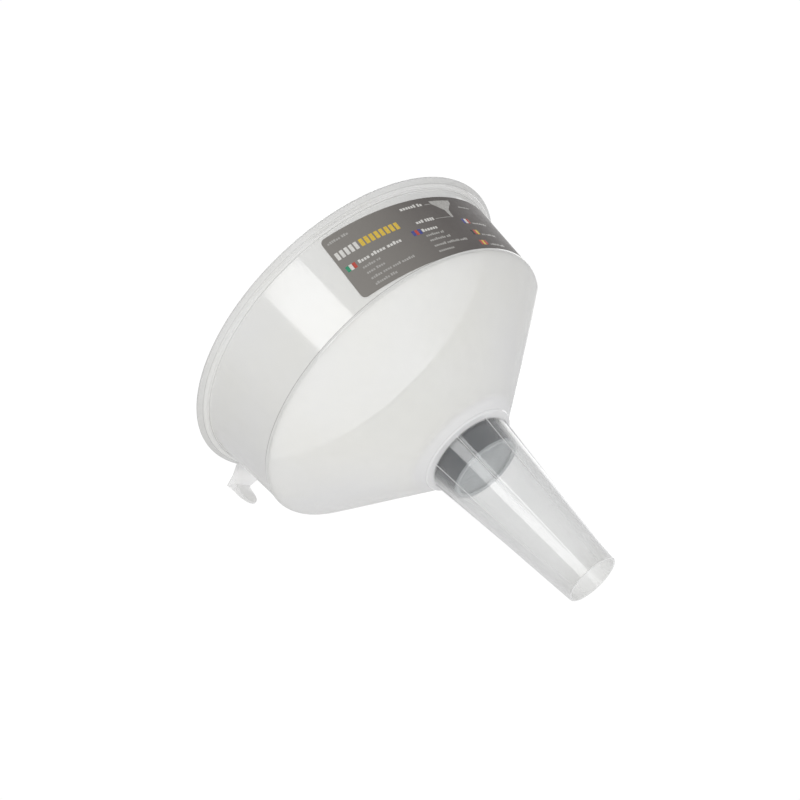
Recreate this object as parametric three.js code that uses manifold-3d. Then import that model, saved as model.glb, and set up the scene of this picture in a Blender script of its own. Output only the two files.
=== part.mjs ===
// Large transfer and canning funnel with a lift-out strainer.
// Millimetres, +Z up. The mouth faces up, the spout points down, the axis is Z and the tip is at Z = 0.
import * as THREE from 'three';
import { mergeVertices } from 'three/addons/utils/BufferGeometryUtils.js';
import Module from 'manifold-3d';

// ---- Driving dimensions ----------------------------------------------------------------------

const HEIGHT = 183.5;
const RIM_RADIUS = 92.5;
const TIP_BORE_RADIUS = 12.5;
const TIP_WALL = 1.2;
const WALL = 1.6;
const CLEARANCE = 0.3;

const THROAT = { radius: 22.2, boreRadius: 20.8, z: 88.2 };
const SEAT_EDGE = { radius: 25.5, z: 88.9 };
const CONE_FOOT = { radius: 25.8, z: 90 };
const SHOULDER = { radius: 84.4, z: 136.3, fillet: 3.5 };
const SHOULDER_STEP = { outerRadius: 84.3, innerRadius: 83.9, z: 137.9, rise: 0.3 };
const BOWL_TOP = { radius: 87.4, z: 179.1 };

// The rim steps outward in two small ledges before the lip, seen from below.
const FIRST_LEDGE = { radius: 88.3, z: 179.4, rise: 0.8 };
const SECOND_LEDGE = { radius: 90, z: 180.7, rise: 0.6 };
const LEDGE_DRAFT = 0.3;
const LIP_EDGE_HEIGHT = 0.6;

const SEAT_LEDGE_Z = 90.2;
const SEAT_RECESS_RADIUS = 24.6;

// The ribs run on a little past the throat so that they end inside the collar.
const RIB = { count: 8, width: 0.9, height: 0.6, rootDepth: 0.6, bottomZ: 43, overrun: 0.3, phase: 18.4 };

const HOOK = {
  topZ: 179.5,
  bottomZ: 165.2,
  shelfThickness: 2.3,
  rootRadius: 85.9,
  rootWidth: 29,
  width: 11.7,
  innerRadius: 100.8,
  outerRadius: 104.2,
  tipInnerRadius: 102.3,
  tipOuterRadius: 103.3,
};

const STRAINER = {
  flangeRadius: 24.2,
  flangeThickness: 1.3,
  topRadius: 20.2,
  bottomRadius: 18.8,
  bottomZ: 76,
  wall: 1.2,
  lipWidth: 2.7,
  lipThickness: 1,
};
const GAUZE = { radius: 17.1, thickness: 0.5 };

const LABEL = {
  startDegrees: -63.8,
  endDegrees: 22,
  bottomZ: 139.9,
  topZ: 177.1,
  thickness: 0.35,
  gap: 0.25,
};

const ROUND_STEPS = 96;
const SMALL_ROUND_STEPS = 64;
const FILLET_STEPS = 4;
const HOOK_TIP_STEPS = 10;

// Cutting shapes reach well past the rim.
const BEYOND_RIM = 2 * RIM_RADIUS;

// ---- Materials -------------------------------------------------------------------------------

function plastic(color, roughness, opacity = 1) {
  const transparent = opacity < 1;
  return new THREE.MeshStandardMaterial({ color, roughness, metalness: 0, opacity, transparent });
}

const clearPlastic = plastic(0xdfe0dd, 0.25, 0.6);
const greyPlastic = plastic(0x6d7274, 0.45);
const steelGauze = new THREE.MeshStandardMaterial({ color: 0x9a9fa1, roughness: 0.4, metalness: 0.9 });
const printedFilm = plastic(0x393532, 0.2);

// ---- Geometry helpers ------------------------------------------------------------------------

const point = (radius, z) => new THREE.Vector2(radius, z);
const degrees = (angle) => THREE.MathUtils.degToRad(angle);

function ring(profile, steps = ROUND_STEPS) {
  const closed = [...profile, profile[0].clone()];
  return new THREE.LatheGeometry(closed, steps).rotateX(Math.PI / 2);
}

// Rounds one corner of an outline with an arc tangent to both of its sides.
function filletCorner(before, corner, after, radius) {
  const toBefore = before.clone().sub(corner).normalize();
  const toAfter = after.clone().sub(corner).normalize();
  const half = Math.acos(toBefore.dot(toAfter)) / 2;
  const middle = toBefore.clone().add(toAfter).normalize();
  const centre = corner.clone().addScaledVector(middle, radius / Math.sin(half));
  const start = corner.clone().addScaledVector(toBefore, radius / Math.tan(half)).sub(centre);
  const end = corner.clone().addScaledVector(toAfter, radius / Math.tan(half)).sub(centre);
  const sweep = Math.atan2(start.cross(end), start.dot(end));
  return Array.from({ length: FILLET_STEPS + 1 }, (_, step) => (
    start.clone().rotateAround(point(0, 0), sweep * step / FILLET_STEPS).add(centre)
  ));
}

// Copies an open outline sideways, keeping every side parallel and the corners mitred.
function offsetOutline(outline, distance) {
  const normals = outline.slice(1).map((end, i) => {
    const side = end.clone().sub(outline[i]).normalize();
    return point(-side.y, side.x);
  });
  return outline.map((corner, i) => {
    const first = normals[Math.max(i - 1, 0)];
    const second = normals[Math.min(i, normals.length - 1)];
    const miter = first.clone().add(second);
    return corner.clone().addScaledVector(miter, 2 * distance / miter.lengthSq());
  });
}

function pointAtHeight(start, end, z) {
  return start.clone().lerp(end, (z - start.y) / (end.y - start.y));
}

function pointAtRadius(start, end, radius) {
  return start.clone().lerp(end, (radius - start.x) / (end.x - start.x));
}

const wasm = await Module();
wasm.setup();

function toManifold(geometry) {
  const bare = geometry.clone();
  bare.deleteAttribute('normal');
  bare.deleteAttribute('uv');
  const merged = mergeVertices(bare, 1e-4);
  const mesh = new wasm.Mesh({
    numProp: 3,
    vertProperties: new Float32Array(merged.attributes.position.array),
    triVerts: new Uint32Array(merged.index.array),
  });
  mesh.merge();
  return new wasm.Manifold(mesh);
}

function toGeometry(manifold) {
  const mesh = manifold.getMesh();
  const geometry = new THREE.BufferGeometry();
  geometry.setAttribute('position', new THREE.BufferAttribute(new Float32Array(mesh.vertProperties), 3));
  geometry.setIndex(new THREE.BufferAttribute(new Uint32Array(mesh.triVerts), 1));
  geometry.computeVertexNormals();
  return geometry;
}

function fuse(...geometries) {
  return toGeometry(geometries.map(toManifold).reduce((whole, piece) => whole.add(piece)));
}

// ---- Funnel body: bowl, cone, spout, stepped rim, vent ribs and hanging hook -------------------

function bowlOutline() {
  const foot = point(CONE_FOOT.radius, CONE_FOOT.z);
  const shoulder = point(SHOULDER.radius, SHOULDER.z);
  const step = point(SHOULDER_STEP.outerRadius, SHOULDER_STEP.z);
  return [
    foot,
    ...filletCorner(foot, shoulder, step, SHOULDER.fillet),
    point(SHOULDER_STEP.innerRadius, SHOULDER_STEP.z + SHOULDER_STEP.rise),
    point(BOWL_TOP.radius, BOWL_TOP.z),
    point(FIRST_LEDGE.radius, FIRST_LEDGE.z),
    point(FIRST_LEDGE.radius + LEDGE_DRAFT, FIRST_LEDGE.z + FIRST_LEDGE.rise),
    point(SECOND_LEDGE.radius, SECOND_LEDGE.z),
    point(SECOND_LEDGE.radius + LEDGE_DRAFT, SECOND_LEDGE.z + SECOND_LEDGE.rise),
    point(RIM_RADIUS, HEIGHT - LIP_EDGE_HEIGHT),
  ];
}

function funnelShell() {
  const outside = bowlOutline();
  const [insideFoot, ...inside] = offsetOutline(outside, WALL);
  const insideMouth = pointAtHeight(inside.at(-2), inside.at(-1), HEIGHT);
  return ring([
    point(TIP_BORE_RADIUS + TIP_WALL, 0),
    point(THROAT.radius, THROAT.z),
    point(SEAT_EDGE.radius, SEAT_EDGE.z),
    ...outside,
    point(RIM_RADIUS, HEIGHT),
    insideMouth,
    ...inside.slice(0, -1).reverse(),
    pointAtRadius(insideFoot, inside[0], SEAT_RECESS_RADIUS),
    point(SEAT_RECESS_RADIUS, SEAT_LEDGE_Z),
    point(THROAT.boreRadius, SEAT_LEDGE_Z),
    point(THROAT.boreRadius, THROAT.z),
    point(TIP_BORE_RADIUS, 0),
  ]);
}

function spoutRadiusAt(z) {
  return pointAtHeight(point(TIP_BORE_RADIUS + TIP_WALL, 0), point(THROAT.radius, THROAT.z), z).x;
}

// A rib is a thin fin that starts flush with the spout and grows towards the throat.
function ventRib(angle) {
  const bottomRadius = spoutRadiusAt(RIB.bottomZ);
  const topZ = THROAT.z + RIB.overrun;
  const fin = new THREE.Shape([
    point(bottomRadius, RIB.bottomZ),
    point(THROAT.radius + RIB.height, THROAT.z),
    point(THROAT.radius + RIB.height, topZ),
    point(THROAT.radius - RIB.rootDepth, topZ),
    point(bottomRadius - RIB.rootDepth, RIB.bottomZ),
  ]);
  return new THREE.ExtrudeGeometry(fin, { depth: RIB.width, bevelEnabled: false })
    .translate(0, 0, -RIB.width / 2)
    .rotateX(Math.PI / 2)
    .rotateZ(degrees(angle));
}

// The hook reaches out from under the rim on the -X side: a flat shelf that widens towards its root.
function hookShelf() {
  const half = HOOK.width / 2;
  const rootHalf = HOOK.rootWidth / 2;
  const plan = new THREE.Shape([
    point(-HOOK.rootRadius, rootHalf),
    point(-HOOK.outerRadius, half),
    point(-HOOK.outerRadius, -half),
    point(-HOOK.rootRadius, -rootHalf),
  ]);
  return new THREE.ExtrudeGeometry(plan, { depth: HOOK.shelfThickness, bevelEnabled: false })
    .translate(0, 0, HOOK.topZ - HOOK.shelfThickness);
}

// The tongue hangs from the shelf's outer edge, thins towards its tip and ends in a half circle.
function hookTongue() {
  const half = HOOK.width / 2;
  const side = new THREE.Shape([
    point(-HOOK.innerRadius, HOOK.topZ),
    point(-HOOK.outerRadius, HOOK.topZ),
    point(-HOOK.tipOuterRadius, HOOK.bottomZ),
    point(-HOOK.tipInnerRadius, HOOK.bottomZ),
    point(-HOOK.innerRadius, HOOK.topZ - HOOK.shelfThickness),
  ]);
  const slab = new THREE.ExtrudeGeometry(side, { depth: HOOK.width, bevelEnabled: false })
    .translate(0, 0, -half)
    .rotateX(Math.PI / 2);
  const front = new THREE.Shape();
  front.moveTo(half, HOOK.topZ);
  front.lineTo(-half, HOOK.topZ);
  front.absarc(0, HOOK.bottomZ + half, half, Math.PI, 2 * Math.PI);
  const along = { depth: RIM_RADIUS, bevelEnabled: false, curveSegments: HOOK_TIP_STEPS };
  const outline = new THREE.ExtrudeGeometry(front, along)
    .rotateX(Math.PI / 2)
    .rotateZ(Math.PI / 2)
    .translate(-BEYOND_RIM, 0, 0);
  return toGeometry(toManifold(slab).intersect(toManifold(outline)));
}

function funnelBody() {
  const ribs = Array.from({ length: RIB.count }, (_, i) => ventRib(RIB.phase + i * 360 / RIB.count));
  return new THREE.Mesh(fuse(funnelShell(), ...ribs, hookShelf(), hookTongue()), clearPlastic);
}

// ---- Strainer: moulded cup that drops into the throat, with a gauze floor ----------------------

function strainerCup() {
  const { flangeRadius, flangeThickness, topRadius, bottomRadius, bottomZ, wall } = STRAINER;
  const seatZ = SEAT_LEDGE_Z + CLEARANCE;
  const lipRadius = bottomRadius - STRAINER.lipWidth;
  const lipTopZ = bottomZ + STRAINER.lipThickness;
  const cup = ring([
    point(lipRadius, bottomZ),
    point(bottomRadius, bottomZ),
    point(topRadius, seatZ),
    point(flangeRadius, seatZ),
    point(flangeRadius, seatZ + flangeThickness),
    point(topRadius - wall, seatZ + flangeThickness),
    point(bottomRadius - wall, lipTopZ),
    point(lipRadius, lipTopZ),
  ], SMALL_ROUND_STEPS);
  return new THREE.Mesh(cup, greyPlastic);
}

function strainerGauze() {
  const { radius, thickness } = GAUZE;
  const bottomZ = STRAINER.bottomZ + STRAINER.lipThickness + CLEARANCE;
  const disc = new THREE.CylinderGeometry(radius, radius, thickness, SMALL_ROUND_STEPS)
    .rotateX(Math.PI / 2)
    .translate(0, 0, bottomZ + thickness / 2);
  return new THREE.Mesh(disc, steelGauze);
}

// ---- Label: printed film round one side of the bowl ---------------------------------------------

function label() {
  const wallFoot = point(SHOULDER_STEP.innerRadius, SHOULDER_STEP.z + SHOULDER_STEP.rise);
  const wallTop = point(BOWL_TOP.radius, BOWL_TOP.z);
  const back = [LABEL.bottomZ, LABEL.topZ].map((z) => (
    pointAtHeight(wallFoot, wallTop, z).add(point(LABEL.gap, 0))
  ));
  const front = back.map((corner) => corner.clone().add(point(LABEL.thickness, 0)));
  const band = ring([back[0], front[0], front[1], back[1]]);
  const middle = (LABEL.startDegrees + LABEL.endDegrees) / 2;
  const reach = [LABEL.startDegrees, middle, LABEL.endDegrees].map((angle) => (
    point(BEYOND_RIM, 0).rotateAround(point(0, 0), degrees(angle))
  ));
  const wedge = new THREE.Shape([point(0, 0), ...reach]);
  const sector = new THREE.ExtrudeGeometry(wedge, { depth: HEIGHT, bevelEnabled: false });
  const film = toGeometry(toManifold(band).intersect(toManifold(sector)));
  return new THREE.Mesh(film, printedFilm);
}

// ---- Assembly -----------------------------------------------------------------------------------

const funnel = new THREE.Group();
const pieces = {
  funnel_body: funnelBody(),
  strainer_cup: strainerCup(),
  strainer_gauze: strainerGauze(),
  label: label(),
};
for (const [name, mesh] of Object.entries(pieces)) {
  mesh.name = name;
  funnel.add(mesh);
}

export default funnel;
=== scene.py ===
import math
import random

import bmesh
import bpy
from mathutils import Matrix, Vector


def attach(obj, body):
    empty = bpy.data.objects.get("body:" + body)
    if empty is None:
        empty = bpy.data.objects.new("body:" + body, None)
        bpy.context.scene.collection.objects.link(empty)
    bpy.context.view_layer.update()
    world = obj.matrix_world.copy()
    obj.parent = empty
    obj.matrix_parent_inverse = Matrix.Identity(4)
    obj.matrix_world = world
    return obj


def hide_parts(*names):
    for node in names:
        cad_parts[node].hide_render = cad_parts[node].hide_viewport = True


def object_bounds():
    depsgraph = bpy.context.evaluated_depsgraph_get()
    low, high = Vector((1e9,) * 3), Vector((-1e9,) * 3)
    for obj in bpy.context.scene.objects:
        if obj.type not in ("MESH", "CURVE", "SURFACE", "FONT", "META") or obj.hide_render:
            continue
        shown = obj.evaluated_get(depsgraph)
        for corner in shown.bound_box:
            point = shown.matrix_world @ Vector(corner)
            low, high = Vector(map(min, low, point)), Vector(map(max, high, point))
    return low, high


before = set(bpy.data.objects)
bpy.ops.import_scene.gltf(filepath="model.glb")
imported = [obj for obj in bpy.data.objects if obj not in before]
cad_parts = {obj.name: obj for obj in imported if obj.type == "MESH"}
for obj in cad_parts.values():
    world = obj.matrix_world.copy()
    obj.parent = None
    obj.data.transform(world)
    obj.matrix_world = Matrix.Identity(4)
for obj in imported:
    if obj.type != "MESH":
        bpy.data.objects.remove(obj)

cad_low, cad_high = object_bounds()

# ---- Sizes: millimetres here, metres in every mesh ----------------------------------------------

MM = 0.001
HEIGHT = cad_high.z / MM
RIM_RADIUS = cad_high.x / MM

WALL = 1.6
TIP_BORE = 12.5
TIP_OUTSIDE = 13.7
THROAT_RADIUS, THROAT_BORE, THROAT_Z = 22.2, 20.8, 88.2
SEAT_EDGE_RADIUS, SEAT_EDGE_Z = 25.5, 88.9
SEAT_RECESS_RADIUS, SEAT_LEDGE_Z = 24.6, 90.2
CONE_FOOT_RADIUS, CONE_FOOT_Z = 25.8, 90
SHOULDER_RADIUS, SHOULDER_Z, SHOULDER_ROUNDING = 84.4, 136.3, 3.5
SHOULDER_STEP_RADIUS, SHOULDER_STEP_Z = 84.3, 137.9
BOWL_FOOT_RADIUS, BOWL_FOOT_Z = 83.9, 138.2
BOWL_TOP_RADIUS, BOWL_TOP_Z = 87.4, 179.1
# The two ledges under the lip, as corners of the outside: radius and z.
LEDGES = ((88.3, 179.4), (88.6, 180.2), (90, 180.7), (90.3, 181.3))
LIP_WIDTH, LIP_EDGE_HEIGHT = 1.45, 0.6
# Radii of the moulding's corners, from the sharpest to the softest.
CREASE, FINE, EDGE, SOFT, FULL = 0.15, 0.25, 0.3, 0.4, 0.5

RIB_COUNT, RIB_PHASE, RIB_BOTTOM_Z, RIB_HEIGHT = 8, 18.4, 43, 0.6
# Half of a rib's cross-section: distance from its middle, and share of its full height.
RIB_SECTION = ((0.8, 0), (0.6, 0.07), (0.36, 0.5), (0.16, 0.95))
# Degrees on each side of a rib that hold no other columns of the mesh.
RIB_WINDOW = 3.0

HOOK_TOP_Z, HOOK_THICKNESS = 179.5, 2.3
HOOK_ROOT_HALF, HOOK_HALF, HOOK_ROOT_SINK = 14.5, 5.85, 0.5
HOOK_INNER, HOOK_OUTER = 100.8, 104.2
HOOK_TIP_INNER, HOOK_TIP_OUTER, HOOK_BOTTOM_Z = 102.3, 103.3, 165.2
HOOK_SHELF_Z = HOOK_TOP_Z - HOOK_THICKNESS
HOOK_TIP_HALF, HOOK_BEVEL = 0.05, 0.35

CUP_BOTTOM_Z, CUP_BOTTOM_RADIUS, CUP_TOP_RADIUS, CUP_WALL = 76, 18.8, 20.2, 1.2
CUP_LIP_WIDTH, CUP_LIP_THICKNESS = 2.7, 1.0
FLANGE_RADIUS, FLANGE_Z, FLANGE_THICKNESS = 24.2, 90.5, 1.3
GAUZE_RADIUS, GAUZE_Z, GAUZE_PITCH, WIRE_RADIUS = 17.1, 77.55, 0.75, 0.14

# The label is a flat rectangle wrapped on the bowl; it lies level where LABEL_LEVEL_AZIMUTH says.
LABEL_LENGTH, LABEL_WIDTH, LABEL_CORNER = 127, 37, 2.6
LABEL_LEVEL_AZIMUTH, LABEL_LEVEL_X, LABEL_FOOT_Z = -5.2, 86.5, 137.4
LABEL_GAP, LABEL_THICKNESS, INK_GAP, INK_THICKNESS = 0.09, 0.12, 0.01, 0.03
LABEL_COLUMN_WIDTH, LABEL_ROW_HEIGHT = 1.5, 4

# How finely the meshes are divided, and how close two points have to be to become one.
ROUND_STEPS, CUP_STEPS, WIRE_SIDES = 288, 160, 5
HOOK_COLUMNS, HOOK_ARC_STEPS = 14, 8
MERGE_DISTANCE = 0.002

# ---- Mesh helpers -----------------------------------------------------------------------------


def make_object(name, vertices, faces, smooth_angle=40):
    mesh = bpy.data.meshes.new(name)
    mesh.from_pydata([Vector(v) * MM for v in vertices], [], faces)
    work = bmesh.new()
    work.from_mesh(mesh)
    bmesh.ops.remove_doubles(work, verts=work.verts, dist=MERGE_DISTANCE * MM)
    bmesh.ops.recalc_face_normals(work, faces=work.faces)
    work.to_mesh(mesh)
    work.free()
    piece = bpy.data.objects.new(name, mesh)
    bpy.context.scene.collection.objects.link(piece)
    smooth(piece, smooth_angle)
    return piece


def smooth(piece, angle):
    piece.data.shade_smooth()
    piece.data.set_sharp_from_angle(angle=math.radians(angle))
    weighted = piece.modifiers.new("weighted_normals", "WEIGHTED_NORMAL")
    weighted.keep_sharp = True
    weighted.weight = 100


def apply_modifiers(piece):
    graph = bpy.context.evaluated_depsgraph_get()
    mesh = bpy.data.meshes.new_from_object(piece.evaluated_get(graph))
    piece.modifiers.clear()
    piece.data = mesh


def rounded(corners):
    """A closed outline of (radius, z, rounding) corners as points, each corner turned into an arc."""
    points = []
    for i, (x, z, rounding) in enumerate(corners):
        corner = Vector((x, z))
        before = Vector(corners[i - 1][:2]) - corner
        after = Vector(corners[(i + 1) % len(corners)][:2]) - corner
        half = before.angle(after) / 2
        reach = min(rounding / math.tan(half), 0.45 * before.length, 0.45 * after.length)
        if rounding == 0 or half > math.radians(89):
            points.append(corner)
            continue
        steps = max(2, math.ceil((180 - 2 * math.degrees(half)) / 14))
        start = corner + before.normalized() * reach
        end = corner + after.normalized() * reach
        centre = corner + (before.normalized() + after.normalized()).normalized() * reach / math.cos(half)
        from_centre = start - centre
        turn = from_centre.angle_signed(end - centre)
        for step in range(steps + 1):
            # Vector.angle_signed counts clockwise turns as positive.
            points.append(centre + Matrix.Rotation(-turn * step / steps, 2) @ from_centre)
    return points


def grid_faces(rows, columns, close_rows, close_columns):
    faces = []
    for row in range(rows if close_rows else rows - 1):
        for column in range(columns if close_columns else columns - 1):
            next_row, next_column = (row + 1) % rows, (column + 1) % columns
            faces.append((
                row * columns + column,
                row * columns + next_column,
                next_row * columns + next_column,
                next_row * columns + column,
            ))
    return faces


def lathe(name, corners, steps):
    profile = rounded(corners)
    vertices = []
    for radius, z in profile:
        for step in range(steps):
            angle = 2 * math.pi * step / steps
            vertices.append((radius * math.cos(angle), radius * math.sin(angle), z))
    return make_object(name, vertices, grid_faces(len(profile), steps, True, True))


# ---- Funnel body ------------------------------------------------------------------------------


def outside_corners():
    """The outside from the cone's foot to the lip: radius, z and rounding."""
    return [
        (CONE_FOOT_RADIUS, CONE_FOOT_Z, SOFT),
        (SHOULDER_RADIUS, SHOULDER_Z, SHOULDER_ROUNDING),
        (SHOULDER_STEP_RADIUS, SHOULDER_STEP_Z, CREASE),
        (BOWL_FOOT_RADIUS, BOWL_FOOT_Z, CREASE),
        (BOWL_TOP_RADIUS, BOWL_TOP_Z, EDGE),
        *[(radius, z, FINE) for radius, z in LEDGES],
        (RIM_RADIUS, HEIGHT - LIP_EDGE_HEIGHT, FINE),
    ]


def inside_corners():
    """The outside corners moved inwards by the wall, from the mouth down to the strainer's seat."""
    corners = outside_corners()
    outside = [Vector(corner[:2]) for corner in corners]
    moved = []
    for i in range(1, len(outside) - 1):
        sides = [(outside[i] - outside[i - 1]).normalized(), (outside[i + 1] - outside[i]).normalized()]
        normals = [Vector((-side.y, side.x)) for side in sides]
        miter = normals[0] + normals[1]
        inner = outside[i] + miter * (2 * WALL / miter.length_squared)
        moved.append((inner.x, inner.y, max(CREASE, corners[i][2] - WALL)))
    foot = Vector(moved[0][:2]) - (outside[1] - outside[0])
    run = (SEAT_RECESS_RADIUS - foot.x) / (moved[0][0] - foot.x)
    recess_z = foot.y + run * (moved[0][1] - foot.y)
    mouth = (RIM_RADIUS - LIP_WIDTH, HEIGHT, FULL)
    return [mouth, *reversed(moved), (SEAT_RECESS_RADIUS, recess_z, EDGE)]


def body_profile():
    return rounded([
        (TIP_BORE, 0, FINE),
        (TIP_OUTSIDE, 0, SOFT),
        (spout_radius(RIB_BOTTOM_Z), RIB_BOTTOM_Z, 0),
        (THROAT_RADIUS, THROAT_Z, EDGE),
        (SEAT_EDGE_RADIUS, SEAT_EDGE_Z, SOFT),
        *outside_corners(),
        (RIM_RADIUS, HEIGHT, FINE),
        *inside_corners(),
        (SEAT_RECESS_RADIUS, SEAT_LEDGE_Z, EDGE),
        (THROAT_BORE, SEAT_LEDGE_Z, SOFT),
        (THROAT_BORE, THROAT_Z, 0),
    ])


def spout_radius(z):
    return TIP_OUTSIDE + (THROAT_RADIUS - TIP_OUTSIDE) * z / THROAT_Z


def body_columns():
    """Steps round the axis as (angle, distance in mm to one side, share of the rib's height)."""
    ribs = [RIB_PHASE + i * 360 / RIB_COUNT for i in range(RIB_COUNT)]
    columns = []
    for step in range(ROUND_STEPS):
        angle = step * 360 / ROUND_STEPS
        if all(abs((angle - rib + 180) % 360 - 180) > RIB_WINDOW for rib in ribs):
            columns.append((angle, 0, 0))
    for rib in ribs:
        columns.append((rib, 0, 1))
        for distance, share in RIB_SECTION:
            columns.append((rib, -distance, share))
            columns.append((rib, distance, share))
    return sorted(columns, key=lambda column: (column[0] + math.degrees(column[1] / THROAT_RADIUS)) % 360)


def rib_height_at(radius, z):
    """A rib's full height at a point of the profile: none on the bore or above the throat."""
    on_spout = z < THROAT_Z + EDGE and radius > spout_radius(z) - SOFT
    if not on_spout:
        return 0
    return RIB_HEIGHT * max(0, (z - RIB_BOTTOM_Z) / (THROAT_Z - RIB_BOTTOM_Z))


def funnel_body():
    profile = body_profile()
    columns = body_columns()
    vertices, thickening = [], []
    for radius, z in profile:
        rib_height = rib_height_at(radius, z)
        spread = min(max(radius, TIP_OUTSIDE), THROAT_RADIUS)
        for angle, distance, share in columns:
            turn = math.radians(angle) + distance / spread
            out = radius + rib_height * share
            vertices.append((out * math.cos(turn), out * math.sin(turn), z))
            thickening.append(share ** 2 * rib_height / RIB_HEIGHT)
    faces = grid_faces(len(profile), len(columns), True, True)
    body = make_object("funnel_shell", vertices, faces)
    ribs = body.data.attributes.new("rib", "FLOAT", "POINT")
    ribs.data.foreach_set("value", thickening)
    return body


def is_inside(centre, normal):
    """True for a face that looks towards the funnel's axis or up into the bowl."""
    outwards = Vector((centre.x, centre.y, 0)).normalized()
    return normal.dot(outwards) < 0 and centre.z < HEIGHT * MM


def hanging_hook():
    """The hook as one sweep: along the shelf from the wall, round the corner and down the tongue."""
    root = BOWL_TOP_RADIUS - HOOK_ROOT_SINK
    sections = []
    for share in (0, 0.25, 0.5, 0.75, 1):
        x = root + (HOOK_INNER - root) * share
        half = HOOK_ROOT_HALF + (HOOK_HALF - HOOK_ROOT_HALF) * (x - root) / (HOOK_OUTER - root)
        top_x = x if share < 1 else HOOK_OUTER
        sections.append(((x, HOOK_SHELF_Z), (top_x, HOOK_TOP_Z), half))
    arc_top = HOOK_BOTTOM_Z + HOOK_HALF
    # The tongue goes down straight to where its round tip begins.
    for z in (HOOK_SHELF_Z - 1.2, HOOK_SHELF_Z - 3.2, arc_top):
        sections.append((*tongue_faces(z), HOOK_HALF))
    for step in range(1, HOOK_ARC_STEPS + 1):
        angle = math.radians(90 * step / HOOK_ARC_STEPS)
        half = max(HOOK_HALF * math.cos(angle), HOOK_TIP_HALF)
        sections.append((*tongue_faces(arc_top - HOOK_HALF * math.sin(angle)), half))
    vertices = []
    for number, (inner, outer, half) in enumerate(sections):
        across = [half * (2 * column / (HOOK_COLUMNS - 1) - 1) for column in range(HOOK_COLUMNS)]
        loop = [(inner, y) for y in across] + [(outer, y) for y in reversed(across)]
        for (x, z), y in loop:
            # The first section follows the round wall that it stands on.
            reach = math.sqrt(x * x - y * y) if number == 0 else x
            vertices.append((-reach, y, z))
    around = 2 * HOOK_COLUMNS
    faces = grid_faces(len(sections), around, False, True)
    last = (len(sections) - 1) * around
    for column in range(HOOK_COLUMNS - 1):
        pair = (column, column + 1, around - 2 - column, around - 1 - column)
        faces.append(pair[::-1])
        faces.append(tuple(last + index for index in pair))
    hook = make_object("hanging_hook", vertices, faces)
    bevel = hook.modifiers.new("soft_edges", "BEVEL")
    bevel.width = HOOK_BEVEL * MM
    bevel.segments = 3
    bevel.limit_method = "ANGLE"
    bevel.angle_limit = math.radians(50)
    # The bevel has to work before the weighted normals.
    hook.modifiers.move(1, 0)
    apply_modifiers(hook)
    return hook


def tongue_faces(z):
    """The tongue's inner and outer face at one height: it thins towards its tip."""
    share = (HOOK_SHELF_Z - z) / (HOOK_SHELF_Z - HOOK_BOTTOM_Z)
    inner = HOOK_INNER + (HOOK_TIP_INNER - HOOK_INNER) * share
    outer = HOOK_OUTER + (HOOK_TIP_OUTER - HOOK_OUTER) * share
    return (inner, z), (outer, z)


# ---- Strainer ---------------------------------------------------------------------------------


def strainer_cup():
    lip_radius = CUP_BOTTOM_RADIUS - CUP_LIP_WIDTH
    lip_top = CUP_BOTTOM_Z + CUP_LIP_THICKNESS
    return lathe("strainer_cup_moulding", [
        (lip_radius, CUP_BOTTOM_Z, EDGE),
        (CUP_BOTTOM_RADIUS, CUP_BOTTOM_Z, FULL),
        (CUP_TOP_RADIUS, FLANGE_Z, EDGE),
        (FLANGE_RADIUS, FLANGE_Z, SOFT),
        (FLANGE_RADIUS, FLANGE_Z + FLANGE_THICKNESS, SOFT),
        (CUP_TOP_RADIUS - CUP_WALL, FLANGE_Z + FLANGE_THICKNESS, FULL),
        (CUP_BOTTOM_RADIUS - CUP_WALL, lip_top, SOFT),
        (lip_radius, lip_top, EDGE),
    ], CUP_STEPS)


def strainer_gauze():
    """Plain weave of round wires, each going over and under the wires that cross it."""
    vertices, faces = [], []
    count = int(GAUZE_RADIUS / GAUZE_PITCH)
    for across in (0, 1):
        for number in range(-count, count + 1):
            offset = number * GAUZE_PITCH
            half_length = math.sqrt(GAUZE_RADIUS ** 2 - offset ** 2)
            steps = max(2, int(2 * half_length / GAUZE_PITCH) * 2)
            first = len(vertices)
            for step in range(steps + 1):
                along = half_length * (2 * step / steps - 1)
                wave = math.cos(math.pi * along / GAUZE_PITCH) * (-1) ** number * (1 - 2 * across)
                height = GAUZE_Z + wave * WIRE_RADIUS
                for side in range(WIRE_SIDES):
                    turn = 2 * math.pi * side / WIRE_SIDES
                    beside = offset + WIRE_RADIUS * math.cos(turn)
                    z = height + WIRE_RADIUS * math.sin(turn)
                    vertices.append((along, beside, z) if across == 0 else (beside, along, z))
            wire = grid_faces(steps + 1, WIRE_SIDES, False, True)
            faces += [tuple(first + index for index in face) for face in wire]
            last = first + steps * WIRE_SIDES
            faces.append(tuple(range(first, first + WIRE_SIDES)))
            faces.append(tuple(range(last + WIRE_SIDES - 1, last - 1, -1)))
    return make_object("strainer_gauze_weave", vertices, faces, 80)


# ---- Label: flat shapes wrapped on the bowl ----------------------------------------------------


def on_bowl(x, y, lift):
    """Wraps a point of the flat label on the bowl's cone, lift mm off the wall."""
    slope = math.atan2(BOWL_TOP_RADIUS - BOWL_FOOT_RADIUS, BOWL_TOP_Z - BOWL_FOOT_Z)
    foot_radius = BOWL_FOOT_RADIUS + (LABEL_FOOT_Z - BOWL_FOOT_Z) * math.tan(slope)
    apex_distance = foot_radius / math.sin(slope)
    across, up = x - LABEL_LEVEL_X, apex_distance + y
    distance = math.hypot(across, up)
    azimuth = math.radians(LABEL_LEVEL_AZIMUTH) + math.atan2(across, up) / math.sin(slope)
    radius = distance * math.sin(slope) + lift
    z = LABEL_FOOT_Z + (distance - apex_distance) * math.cos(slope)
    return (radius * math.cos(azimuth), radius * math.sin(azimuth), z)


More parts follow.
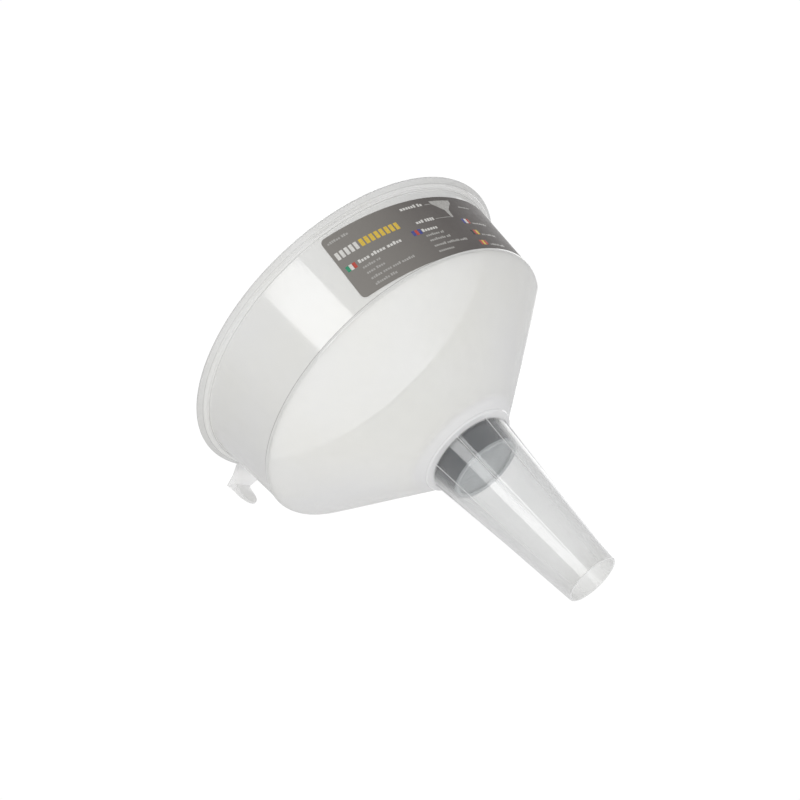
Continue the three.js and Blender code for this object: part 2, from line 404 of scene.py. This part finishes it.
def add_slab(vertices, faces, rows, low, high):
    """A thin closed slab over rows of flat points, every row with the same number of points."""
    first = len(vertices)
    across, along = len(rows), len(rows[0])
    for lift in (high, low):
        vertices += [on_bowl(x, y, lift) for row in rows for x, y in row]
    top = [tuple(first + index for index in face) for face in grid_faces(across, along, False, False)]
    under = across * along
    bottom = [tuple(index + under for index in reversed(face)) for face in top]
    edge = [first + index for index in range(along)]
    edge += [first + row * along + along - 1 for row in range(1, across)]
    edge += [first + (across - 1) * along + index for index in range(along - 2, -1, -1)]
    edge += [first + row * along for row in range(across - 2, 0, -1)]
    rim = [
        (edge[i], edge[i] + under, edge[(i + 1) % len(edge)] + under, edge[(i + 1) % len(edge)])
        for i in range(len(edge))
    ]
    faces += top + bottom + rim


def rectangle_rows(x, y, width, height, corner):
    """Columns of a rounded rectangle from left to right, as rows of flat points."""
    arc = [corner * (1 - math.cos(math.radians(angle))) for angle in range(0, 90, 15)] if corner else [0]
    straight = width - 2 * corner
    steps = max(1, math.ceil(straight / LABEL_COLUMN_WIDTH))
    middle = [corner + straight * step / steps for step in range(steps + 1)]
    if not corner:
        middle = middle[1:-1]
    stations = [*arc, *middle, *[width - station for station in reversed(arc)]]
    levels = max(1, math.ceil(height / LABEL_ROW_HEIGHT))
    rows = []
    for station in stations:
        inset = min(station, width - station)
        cut = corner - math.sqrt(max(corner ** 2 - (corner - inset) ** 2, 0)) if inset < corner else 0
        rows.append([
            (x + station, y + cut + (height - 2 * cut) * level / levels) for level in range(levels + 1)
        ])
    return rows


def label_film():
    vertices, faces = [], []
    rows = rectangle_rows(0, 0, LABEL_LENGTH, LABEL_WIDTH, LABEL_CORNER)
    add_slab(vertices, faces, rows, LABEL_GAP, LABEL_GAP + LABEL_THICKNESS)
    return make_object("label_film", vertices, faces)


class Ink:
    """Collects the printed marks of one colour into one piece."""

    def __init__(self, name):
        self.name = name
        self.vertices, self.faces = [], []

    def patch(self, x, y, width, height, corner=0.0):
        self.slab(rectangle_rows(x, y, width, height, corner))

    def slab(self, rows):
        low = LABEL_GAP + LABEL_THICKNESS + INK_GAP
        add_slab(self.vertices, self.faces, rows, low, low + INK_THICKNESS)

    def cells(self, x, y, width, height, draw):
        """A line of small blocks in groups, which stands for a line of small print."""
        end = x + width
        while x < end:
            for _ in range(draw.randint(3, 8)):
                step = height * (0.5 + 0.2 * draw.random())
                # Two blocks in three are as low as small letters.
                tall = height * draw.choice((0.72, 0.72, 1))
                if x + step > end:
                    return
                self.patch(x, y, step, tall)
                x += step + height * 0.22
            x += height * 0.45

    def piece(self):
        return make_object(self.name, self.vertices, self.faces)


def pictogram_rows(middle, top):
    """A small funnel: half-widths at heights below its mouth, as in the label's picture."""
    outline = ((0, 7.1), (2, 6.7), (3.4, 5), (6.7, 1.5), (8, 1.2), (11.8, 0.7))
    sides = (-1, -0.5, 0, 0.5, 1)
    return [[(middle + half * side, top - down) for side in sides] for down, half in outline]


def printed_marks():
    """Blocks, lines and colour chips where the label is printed, with no lettering.

    Positions are in mm from the label's lower left corner.
    """
    draw = random.Random(11)
    white, yellow = Ink("label_print_white"), Ink("label_print_yellow")
    green, red, blue, black = (Ink(f"label_print_{name}") for name in ("green", "red", "blue", "black"))
    grey = Ink("label_print_grey")

    grey.cells(2.1, 32.6, 12, 1.4, draw)
    for number in range(5):
        white.patch(1.7 + number * 2.5, 23.2, 1.75, 4.2, 0.3)
    for number in range(8):
        yellow.patch(14.7 + number * 2.75, 23.2, 1.95, 4.2, 0.3)

    # Left edge of a column: its lines as (y, width, height).
    column_lines = {
        8.6: ((16.9, 24, 1.9), (13.4, 10, 1.4), (10.0, 10, 1.4), (6.5, 24, 1.4), (3.0, 12, 1.4)),
        44.6: ((17.6, 9, 1.9), (14.4, 11, 1.4), (11.2, 12.4, 1.4), (7.6, 21, 1.4), (4.0, 10, 1.4)),
        79.0: ((18.4, 13, 1.3), (10.6, 12, 1.3), (3.6, 13, 1.3), (30, 10, 1.2)),
    }
    for x, lines in column_lines.items():
        for y, width, height in lines:
            heading = height > 1.5
            printed = white if heading else grey
            printed.cells(x, y - 0.5, width, height, draw)
    white.cells(42.2, 32.2, 14.4, 1.9, draw)
    white.cells(44.8, 22.4, 11.8, 1.8, draw)
    grey.patch(57, 32.4, 3.8, 0.3)
    grey.patch(56.8, 22.8, 10, 0.3)
    grey.slab(pictogram_rows(68, 34.4))

    chips = (
        (2.0, 15.4, (green, white, red)),
        (39.0, 16.4, (blue, red, blue)),
        (72.6, 18.2, (blue, white, red)),
        (72.4, 10.4, (black, red, yellow)),
        (72.2, 3.2, (red, yellow, red)),
    )
    for x, y, bands in chips:
        for number, colour in enumerate(bands):
            colour.patch(x + number * 1.75, y, 1.65, 3.1)
    return [colour.piece() for colour in (white, yellow, green, red, blue, black, grey)]


# ---- Materials --------------------------------------------------------------------------------

# Share of the light that bare polypropylene mirrors where it is seen face on.
PLASTIC_MIRROR = 0.042
# How much one wall hides where it is seen face on: the upper spout, the collar, and a rib's crest.
CLEAR_HAZE, DENSE_HAZE, RIB_HAZE, MOST_HAZE = 0.045, 0.97, 0.6, 0.98
# A wall hides more where it is seen edge on: the power and the limit of that.
PATH_POWER, PATH_POWER_DROP_IN_BOWL, LEAST_FACING = 2.2, 0.3, 0.12
BELOW_THROAT_Z = THROAT_Z - 0.1
# Top of the dense ring round the strainer's seat.
SEAT_TOP_Z = SEAT_LEDGE_Z + 1.8
# Heights and colour of the painted shade lines at the wall's tight corners.
SHOULDER_LINE_Z, COLLAR_LINE_Z, LEDGE_LINE_Z = 138.36, 89.9, 181.2
# The spout's whiter milk is painted light, which lifts its edges and the collar.
PAINTED_SHADE_COLOUR, SPOUT_LIT_MILK = (0.2, 0.2, 0.2), (0.93, 0.93, 0.935)
# Painted light makes the cup's bottom edge pale this far up, and further by the second value in its bore.
PAINTED_LIGHT_HEIGHT, PAINTED_LIGHT_BORE_EXTRA = 0.6, 1.4
PAINTED_LIGHT_BORE_RADIUS = CUP_BOTTOM_RADIUS - 1


class Nodes:
    """Short hands for building a node tree."""

    def __init__(self, name):
        self.material = bpy.data.materials.new(name)
        self.material.use_nodes = True
        self.tree = self.material.node_tree
        self.tree.nodes.clear()
        self.output = self.tree.nodes.new("ShaderNodeOutputMaterial")
        self.place = self.tree.nodes.new("ShaderNodeTexCoord").outputs["Object"]

    def add(self, kind, inputs=None, **settings):
        node = self.tree.nodes.new(kind)
        for key, value in settings.items():
            setattr(node, key, value)
        for key, value in (inputs or {}).items():
            socket = node.inputs[key]
            if isinstance(value, bpy.types.NodeSocket):
                self.tree.links.new(value, socket)
            else:
                socket.default_value = value
        return node

    def math(self, operation, first, second=0.0):
        return self.add("ShaderNodeMath", {0: first, 1: second}, operation=operation).outputs[0]

    def axis(self, name):
        return self.add("ShaderNodeSeparateXYZ", {"Vector": self.place}).outputs[name]

    def noise(self, size, detail=3.0, stretch=(1, 1, 1)):
        """Noise whose blobs are about size mm across."""
        scaled = self.add("ShaderNodeMapping", {"Vector": self.place, "Scale": stretch}).outputs[0]
        return self.add("ShaderNodeTexNoise", {
            "Vector": scaled, "Scale": 1 / (size * MM), "Detail": detail,
        }).outputs["Fac"]

    def between(self, value, low, high):
        """Spreads a 0 to 1 value from low to high."""
        return self.add("ShaderNodeMapRange", {
            "Value": value, "From Min": 0.3, "From Max": 0.7, "To Min": low, "To Max": high,
        }).outputs[0]

    def ramp(self, value, stops):
        node = self.add("ShaderNodeValToRGB", {"Fac": value})
        elements = node.color_ramp.elements
        while len(elements) < len(stops):
            elements.new(1)
        for element, (position, colour) in zip(elements, stops):
            element.position = position
            element.color = (*colour, 1) if isinstance(colour, tuple) else (colour, colour, colour, 1)
        return node.outputs["Color"]

    def by_height(self, stops):
        """A ramp over the height above the tip, with its stops in mm."""
        height = self.math("DIVIDE", self.axis("Z"), HEIGHT * MM)
        return self.ramp(height, [(z / HEIGHT, value) for z, value in stops])

    def mix(self, share, first, second, blend_type="MIX"):
        """Two colours mixed: none of the second one at 0, all of it at 1."""
        colours = [(*colour, 1) if isinstance(colour, tuple) else colour for colour in (first, second)]
        inputs = {0: share, 1: colours[0], 2: colours[1]}
        return self.add("ShaderNodeMixRGB", inputs, blend_type=blend_type).outputs[0]

    def bump(self, height, depth, strength=1.0):
        """depth in mm from the lowest to the highest height."""
        return self.add("ShaderNodeBump", {
            "Height": height, "Distance": depth * MM, "Strength": strength,
        }).outputs["Normal"]

    def finish(self, shader):
        self.tree.links.new(shader, self.output.inputs["Surface"])
        return self.material


def painted_corner_shade(n):
    """Painted shade: thin dark lines where the wall turns a tight corner, as a value from 0 to 1."""
    # Height above the tip, half the line's width, and how dark it is.
    lines = (
        (SHOULDER_LINE_Z, 0.28, 0.85),
        (COLLAR_LINE_Z, 0.16, 0.2),
        (BOWL_TOP_Z + 0.15, 0.14, 0.5),
        (LEDGE_LINE_Z, 0.22, 0.5),
        (HEIGHT - 0.5, 0.25, 0.3),
    )
    z = n.axis("Z")
    total = 0.0
    for middle, half_width, strength in lines:
        distance = n.math("ABSOLUTE", n.math("SUBTRACT", z, middle * MM))
        near = n.math("SUBTRACT", 1, n.math("DIVIDE", distance, half_width * MM))
        total = n.math("MAXIMUM", total, n.math("MULTIPLY", near, strength))
    return total


def wall_opacity(n, clear_below, in_bowl, line, facing):
    """How much the milk in the wall hides: more where it is dense and where it is seen edge on."""
    haze = n.by_height([
        (10, 0.16),
        (26, 0.12),
        (60, 0.1),
        (75, CLEAR_HAZE),
        (clear_below - 0.1, CLEAR_HAZE),
        (clear_below + 0.05, DENSE_HAZE),
        (SEAT_TOP_Z, DENSE_HAZE),
        (SEAT_LEDGE_Z + 4, 0.45),
    ])
    clouds = n.between(n.noise(26, 2, (1, 1, 0.35)), -0.06, 0.06)
    clouds = n.math("ADD", 1, n.math("MULTIPLY", clouds, in_bowl))
    rib = n.add("ShaderNodeAttribute", attribute_name="rib").outputs["Fac"]
    haze = n.math("ADD", n.math("MULTIPLY", haze, clouds), n.math("MULTIPLY", rib, RIB_HAZE))
    # The painted shade lines also thicken the haze along them.
    haze = n.math("MINIMUM", n.math("MAXIMUM", haze, line), MOST_HAZE)
    path = n.math("DIVIDE", 1, n.math("MAXIMUM", n.math("SUBTRACT", 1, facing), LEAST_FACING))
    power = n.math("SUBTRACT", PATH_POWER, n.math("MULTIPLY", in_bowl, PATH_POWER_DROP_IN_BOWL))
    path = n.math("POWER", path, power)
    return n.math("SUBTRACT", 1, n.math("POWER", n.math("SUBTRACT", 1, haze), path))


def wall_colour(n, in_bowl, line, whiteness, blue):
    """The milk's colour: whitest in the spout as painted light, a little darker at the lip and along the
    lines as painted shade.
    """
    milk = n.ramp(n.noise(40, 2), [
        (0.35, (whiteness, 0.997 * whiteness, 0.99 * blue * whiteness)),
        (0.65, (whiteness, whiteness, 1.01 * blue * whiteness)),
    ])
    # Painted light: the spout gets a whiter milk than the bowl.
    milk = n.mix(in_bowl, SPOUT_LIT_MILK, milk)
    # Painted shade: the lip is a little darker.
    lip_shade = n.by_height([(LEDGE_LINE_Z - 0.05, 1.0), (LEDGE_LINE_Z + 0.15, 0.87)])
    milk = n.mix(1.0, milk, lip_shade, "MULTIPLY")
    # Painted shade: the corner lines darken the milk.
    return n.mix(line, milk, PAINTED_SHADE_COLOUR)


def milky_plastic(name, clear_below, polish, spout_polish, roughness, whiteness=0.805, blue=1.0):
    """Translucent polypropylene: hazy in the bowl, clearer in the thin spout, dense at the collar.

    The polishes say how many times more than bare plastic the bowl and the spout mirror face on.
    """
    n = Nodes(name)
    # Clouds, ripples and scuffs belong to the bowl's wall. The spout's is smoother, and whiter as painted
    # light.
    in_bowl = n.by_height([(BELOW_THROAT_Z, 0.12), (THROAT_Z + 1.8, 1.0)])
    # line carries the painted shade along the tight corners.
    line = painted_corner_shade(n)
    facing = n.add("ShaderNodeLayerWeight", {"Blend": 0.5}).outputs["Facing"]

    colour = wall_colour(n, in_bowl, line, whiteness, blue)
    diffuse = n.add("ShaderNodeBsdfDiffuse", {"Color": colour}).outputs[0]
    through = n.add("ShaderNodeBsdfTranslucent", {"Color": colour}).outputs[0]
    sheer = n.by_height([
        (BELOW_THROAT_Z, 0.35),
        (THROAT_Z + 0.05, 0.0),
        (SEAT_TOP_Z, 0.0),
        (SEAT_LEDGE_Z + 5, 0.35),
    ])
    milk = n.add("ShaderNodeMixShader", {0: sheer, 1: diffuse, 2: through}).outputs[0]
    clearness = n.by_height([
        (0, (0.885, 0.886, 0.876)),
        (12, (0.945, 0.946, 0.944)),
        (BELOW_THROAT_Z, (0.955, 0.957, 0.957)),
        (THROAT_Z + 1, (0.975, 0.975, 0.976)),
    ])
    clear = n.add("ShaderNodeBsdfTransparent", {"Color": clearness}).outputs[0]
    opacity = wall_opacity(n, clear_below, in_bowl, line, facing)
    wall = n.add("ShaderNodeMixShader", {0: opacity, 1: clear, 2: milk}).outputs[0]

    face_on = n.by_height([
        (BELOW_THROAT_Z, PLASTIC_MIRROR * spout_polish),
        (THROAT_Z + 0.1, PLASTIC_MIRROR * polish),
    ])
    grazing = n.math("MULTIPLY", n.math("POWER", facing, 5), min(polish, 0.9))
    scuffs = n.between(n.noise(1.2, 4, (1, 1, 0.15)), 0, 0.06)
    ripple = n.bump(n.math("MULTIPLY", n.noise(34, 2, (1, 1, 0.4)), in_bowl), 0.05)
    gloss = n.add("ShaderNodeBsdfGlossy", {
        "Color": (1, 1, 1, 1),
        "Roughness": n.math("ADD", roughness, n.math("MULTIPLY", scuffs, in_bowl)),
        "Normal": ripple,
    }).outputs[0]
    mirror = n.math("ADD", face_on, grazing)
    return n.finish(n.add("ShaderNodeMixShader", {0: mirror, 1: wall, 2: gloss}).outputs[0])


def moulded_grey():
    """Dark grey plastic with painted light: its bottom edge, and the bore through it, are painted pale.
    """
    n = Nodes("grey_moulded_plastic")
    dark = n.ramp(n.noise(9, 3), [(0.35, (0.016, 0.026, 0.036)), (0.65, (0.024, 0.035, 0.046))])
    flat = n.add("ShaderNodeVectorMath", {0: n.place, 1: (1, 1, 0)}, operation="MULTIPLY").outputs[0]
    radius = n.add("ShaderNodeVectorMath", {0: flat}, operation="LENGTH").outputs["Value"]
    # Painted light: a paler colour on the bottom edge, and paler still in the bore.
    in_bore = n.math("LESS_THAN", radius, PAINTED_LIGHT_BORE_RADIUS * MM)
    extra = n.math("MULTIPLY", in_bore, PAINTED_LIGHT_BORE_EXTRA * MM)
    painted_light_top = n.math("ADD", (CUP_BOTTOM_Z + PAINTED_LIGHT_HEIGHT) * MM, extra)
    below = n.math("LESS_THAN", n.axis("Z"), painted_light_top)
    painted_light = n.mix(in_bore, (0.355, 0.38, 0.395), (0.5, 0.53, 0.545))
    shader = n.add("ShaderNodeBsdfPrincipled", {
        "Base Color": n.mix(below, dark, painted_light),
        "Roughness": n.between(n.noise(3, 4), 0.12, 0.19),
        "Normal": n.bump(n.noise(0.35, 4), 0.01, 0.6),
        "IOR": 1.65,
    }).outputs[0]
    return n.finish(shader)


def woven_steel():
    """Dull stainless wire."""
    n = Nodes("stainless_gauze")
    colour = n.ramp(n.noise(1.5, 3), [(0.3, (0.6, 0.63, 0.645)), (0.7, (0.7, 0.73, 0.745))])
    shader = n.add("ShaderNodeBsdfPrincipled", {
        "Base Color": colour,
        "Metallic": 1.0,
        "Roughness": n.between(n.noise(0.4, 3), 0.28, 0.45),
    }).outputs[0]
    return n.finish(shader)


def printed_film():
    """The label's warm grey ground, with a painted sheen that makes it paler towards its left end."""
    n = Nodes("label_printed_film")
    ground = n.ramp(n.noise(14, 3), [(0.3, (0.07, 0.059, 0.054)), (0.7, (0.082, 0.07, 0.064))])
    # Painted sheen: paler ground towards the left end, beside the bright patch on the bowl.
    painted_sheen = n.add("ShaderNodeMapRange", {
        "Value": n.axis("Y"), "From Min": -74 * MM, "From Max": -24 * MM,
    }, interpolation_type="SMOOTHSTEP").outputs[0]
    shader = n.add("ShaderNodeBsdfPrincipled", {
        "Base Color": n.mix(painted_sheen, (0.205, 0.192, 0.175), ground),
        "Roughness": n.between(n.noise(2.5, 4), 0.46, 0.54),
        "Normal": n.bump(n.noise(11, 2, (1, 1, 0.6)), 0.06),
        "IOR": 1.7,
    }).outputs[0]
    return n.finish(shader)


def ink(name, colour):
    """Printing ink, a little worn in spots."""
    n = Nodes(name)
    worn = tuple(0.86 * part for part in colour)
    shader = n.add("ShaderNodeBsdfPrincipled", {
        "Base Color": n.ramp(n.noise(0.8, 3), [(0.35, worn), (0.6, colour)]),
        "Roughness": n.between(n.noise(2, 3), 0.2, 0.34),
        "IOR": 1.5,
    }).outputs[0]
    return n.finish(shader)


# ---- Assembly ---------------------------------------------------------------------------------

INK_COLOURS = {
    "white": (0.72, 0.71, 0.68), "yellow": (0.72, 0.5, 0.07), "green": (0.03, 0.3, 0.16),
    "red": (0.5, 0.07, 0.05), "blue": (0.07, 0.08, 0.3), "black": (0.02, 0.02, 0.02),
    "grey": (0.44, 0.43, 0.41),
}


def dress(piece, material, body, slot, *nodes):
    """Gives a piece its material and body, and hides the CAD nodes that it stands for. The slot is not
    used.
    """
    piece.data.materials.clear()
    piece.data.materials.append(material)
    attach(piece, body)
    if nodes:
        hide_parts(*nodes)


def build_pieces():
    outside = milky_plastic("milky_polypropylene", clear_below=THROAT_Z, polish=2.2, spout_polish=1.65,
                            roughness=0.07)
    inside = milky_plastic("milky_polypropylene_inside", clear_below=SEAT_LEDGE_Z, polish=0.35,
                           spout_polish=1.15, roughness=0.1, blue=0.94)
    body = funnel_body()
    dress(body, outside, "funnel", "clear_plastic", "funnel_body")
    body.data.materials.append(inside)
    for face in body.data.polygons:
        face.material_index = int(is_inside(face.center, face.normal))
    # A whiter copy of the milky plastic for the hook: painted light that lifts its tone.
    hook_lit_milk = milky_plastic("milky_polypropylene_hook", clear_below=THROAT_Z, polish=1.1, spout_polish=1.8,
                          roughness=0.07, whiteness=0.93)
    dress(hanging_hook(), hook_lit_milk, "funnel", "clear_plastic", "funnel_body")
    dress(strainer_cup(), moulded_grey(), "strainer", "grey_plastic", "strainer_cup")
    dress(strainer_gauze(), woven_steel(), "strainer", "gauze", "strainer_gauze")
    dress(label_film(), printed_film(), "funnel", "label_film", "label")
    for piece in printed_marks():
        colour = INK_COLOURS[piece.name.rsplit("_", 1)[-1]]
        dress(piece, ink(piece.name + "_ink", colour), "funnel", "label_film")


# ---- Studio, in metres and degrees --------------------------------------------------------------

# The point that the lamps face.
MIDDLE = Vector((0, 0, 0.13))
CAMERA_AZIMUTH, CAMERA_ELEVATION, CAMERA_ROLL = -72.68, -26.92, -43.63
CAMERA_AIM = Vector((-0.0067, -0.0020, 0.1343))
CAMERA_DISTANCE, CAMERA_LENS, CAMERA_SENSOR = 0.8531, 78.3, 36

# How bright the white surroundings are to the surfaces and to the camera.
ROOM_STRENGTH, BACKGROUND_STRENGTH = 0.66, 1.02
FLOOR_HALF_SIZE, FLOOR_DROP, FLOOR_GLOW = 60.0, 0.45, 0.32


def direction(azimuth, elevation):
    """Unit vector towards an azimuth, counted from +X, and an elevation above the horizon."""
    flat = math.cos(math.radians(elevation))
    a = math.radians(azimuth)
    return Vector((flat * math.cos(a), flat * math.sin(a), math.sin(math.radians(elevation))))


def make_camera():
    camera = bpy.data.objects.new("camera", bpy.data.cameras.new("camera"))
    bpy.context.scene.collection.objects.link(camera)
    camera.data.lens = CAMERA_LENS
    camera.data.sensor_width = CAMERA_SENSOR
    back = direction(CAMERA_AZIMUTH, CAMERA_ELEVATION)
    level = (-back).to_track_quat("-Z", "Y").to_matrix().to_4x4()
    rolled = level @ Matrix.Rotation(math.radians(CAMERA_ROLL), 4, "Z")
    camera.matrix_world = Matrix.Translation(CAMERA_AIM + back * CAMERA_DISTANCE) @ rolled
    bpy.context.scene.camera = camera


def softbox(name, azimuth, elevation, distance, width, height, radiance):
    """A rectangular lamp that faces the funnel; radiance is how bright its own surface looks."""
    lamp = bpy.data.lights.new(name, "AREA")
    lamp.shape = "RECTANGLE"
    lamp.size, lamp.size_y = width, height
    lamp.energy = radiance * math.pi * width * height
    holder = bpy.data.objects.new(name, lamp)
    bpy.context.scene.collection.objects.link(holder)
    towards = direction(azimuth, elevation)
    holder.location = MIDDLE + towards * distance
    holder.rotation_mode = "QUATERNION"
    holder.rotation_quaternion = towards.to_track_quat("Z", "Y")


def make_lights():
    """The two key softboxes show as the bright strip down the spout and the bright patch on the bowl."""
    softbox("key_softbox", azimuth=-79.9, elevation=6.5, distance=0.9,
            width=0.61, height=0.3, radiance=2.1)
    softbox("upper_key_softbox", azimuth=-81.5, elevation=20.1, distance=0.912,
            width=0.448, height=0.13, radiance=2.1)
    softbox("overhead_softbox", azimuth=60, elevation=70, distance=1.1,
            width=0.9, height=0.9, radiance=3.5)
    softbox("back_softbox", azimuth=88, elevation=28, distance=1.1,
            width=1.0, height=0.7, radiance=1.0)


def make_world():
    """White to the camera and softer to the surfaces."""
    world = bpy.data.worlds.new("studio")
    bpy.context.scene.world = world
    world.use_nodes = True
    tree = world.node_tree
    tree.nodes.clear()
    path = tree.nodes.new("ShaderNodeLightPath")
    mix = tree.nodes.new("ShaderNodeMixShader")
    tree.links.new(path.outputs["Is Camera Ray"], mix.inputs[0])
    for socket, strength in ((1, ROOM_STRENGTH), (2, BACKGROUND_STRENGTH)):
        background = tree.nodes.new("ShaderNodeBackground")
        background.inputs["Color"].default_value = (1, 1, 1, 1)
        background.inputs["Strength"].default_value = strength
        tree.links.new(background.outputs[0], mix.inputs[socket])
    output = tree.nodes.new("ShaderNodeOutputWorld")
    tree.links.new(mix.outputs[0], output.inputs["Surface"])


def floor_material():
    """Pale floor, lit up a little for the camera so that it runs into the white background."""
    n = Nodes("studio_floor")
    matt = n.add("ShaderNodeBsdfDiffuse", {
        "Color": n.ramp(n.noise(60, 3), [(0.3, (0.93, 0.93, 0.93)), (0.7, (0.95, 0.95, 0.95))]),
    }).outputs[0]
    seen = n.add("ShaderNodeLightPath").outputs["Is Camera Ray"]
    glow = n.add("ShaderNodeEmission", {"Strength": n.math("MULTIPLY", seen, FLOOR_GLOW)}).outputs[0]
    return n.finish(n.add("ShaderNodeAddShader", {0: matt, 1: glow}).outputs[0])


def make_floor():
    """A wide floor far below the tip, because the camera looks up at the funnel from below."""
    mesh = bpy.data.meshes.new("studio_floor")
    half = FLOOR_HALF_SIZE
    corners = [(-half, -half), (half, -half), (half, half), (-half, half)]
    mesh.from_pydata([(x, y, cad_low.z - FLOOR_DROP) for x, y in corners], [], [(0, 1, 2, 3)])
    floor = bpy.data.objects.new("studio_floor", mesh)
    bpy.context.scene.collection.objects.link(floor)
    mesh.materials.append(floor_material())


def set_the_view():
    scene = bpy.context.scene
    scene.view_settings.view_transform = "Standard"
    scene.view_settings.look = "None"
    # A ray passes many clear walls and wires on its way through the funnel.
    scene.cycles.transparent_max_bounces = 40


make_camera()
make_world()
make_floor()
make_lights()
set_the_view()
build_pieces()
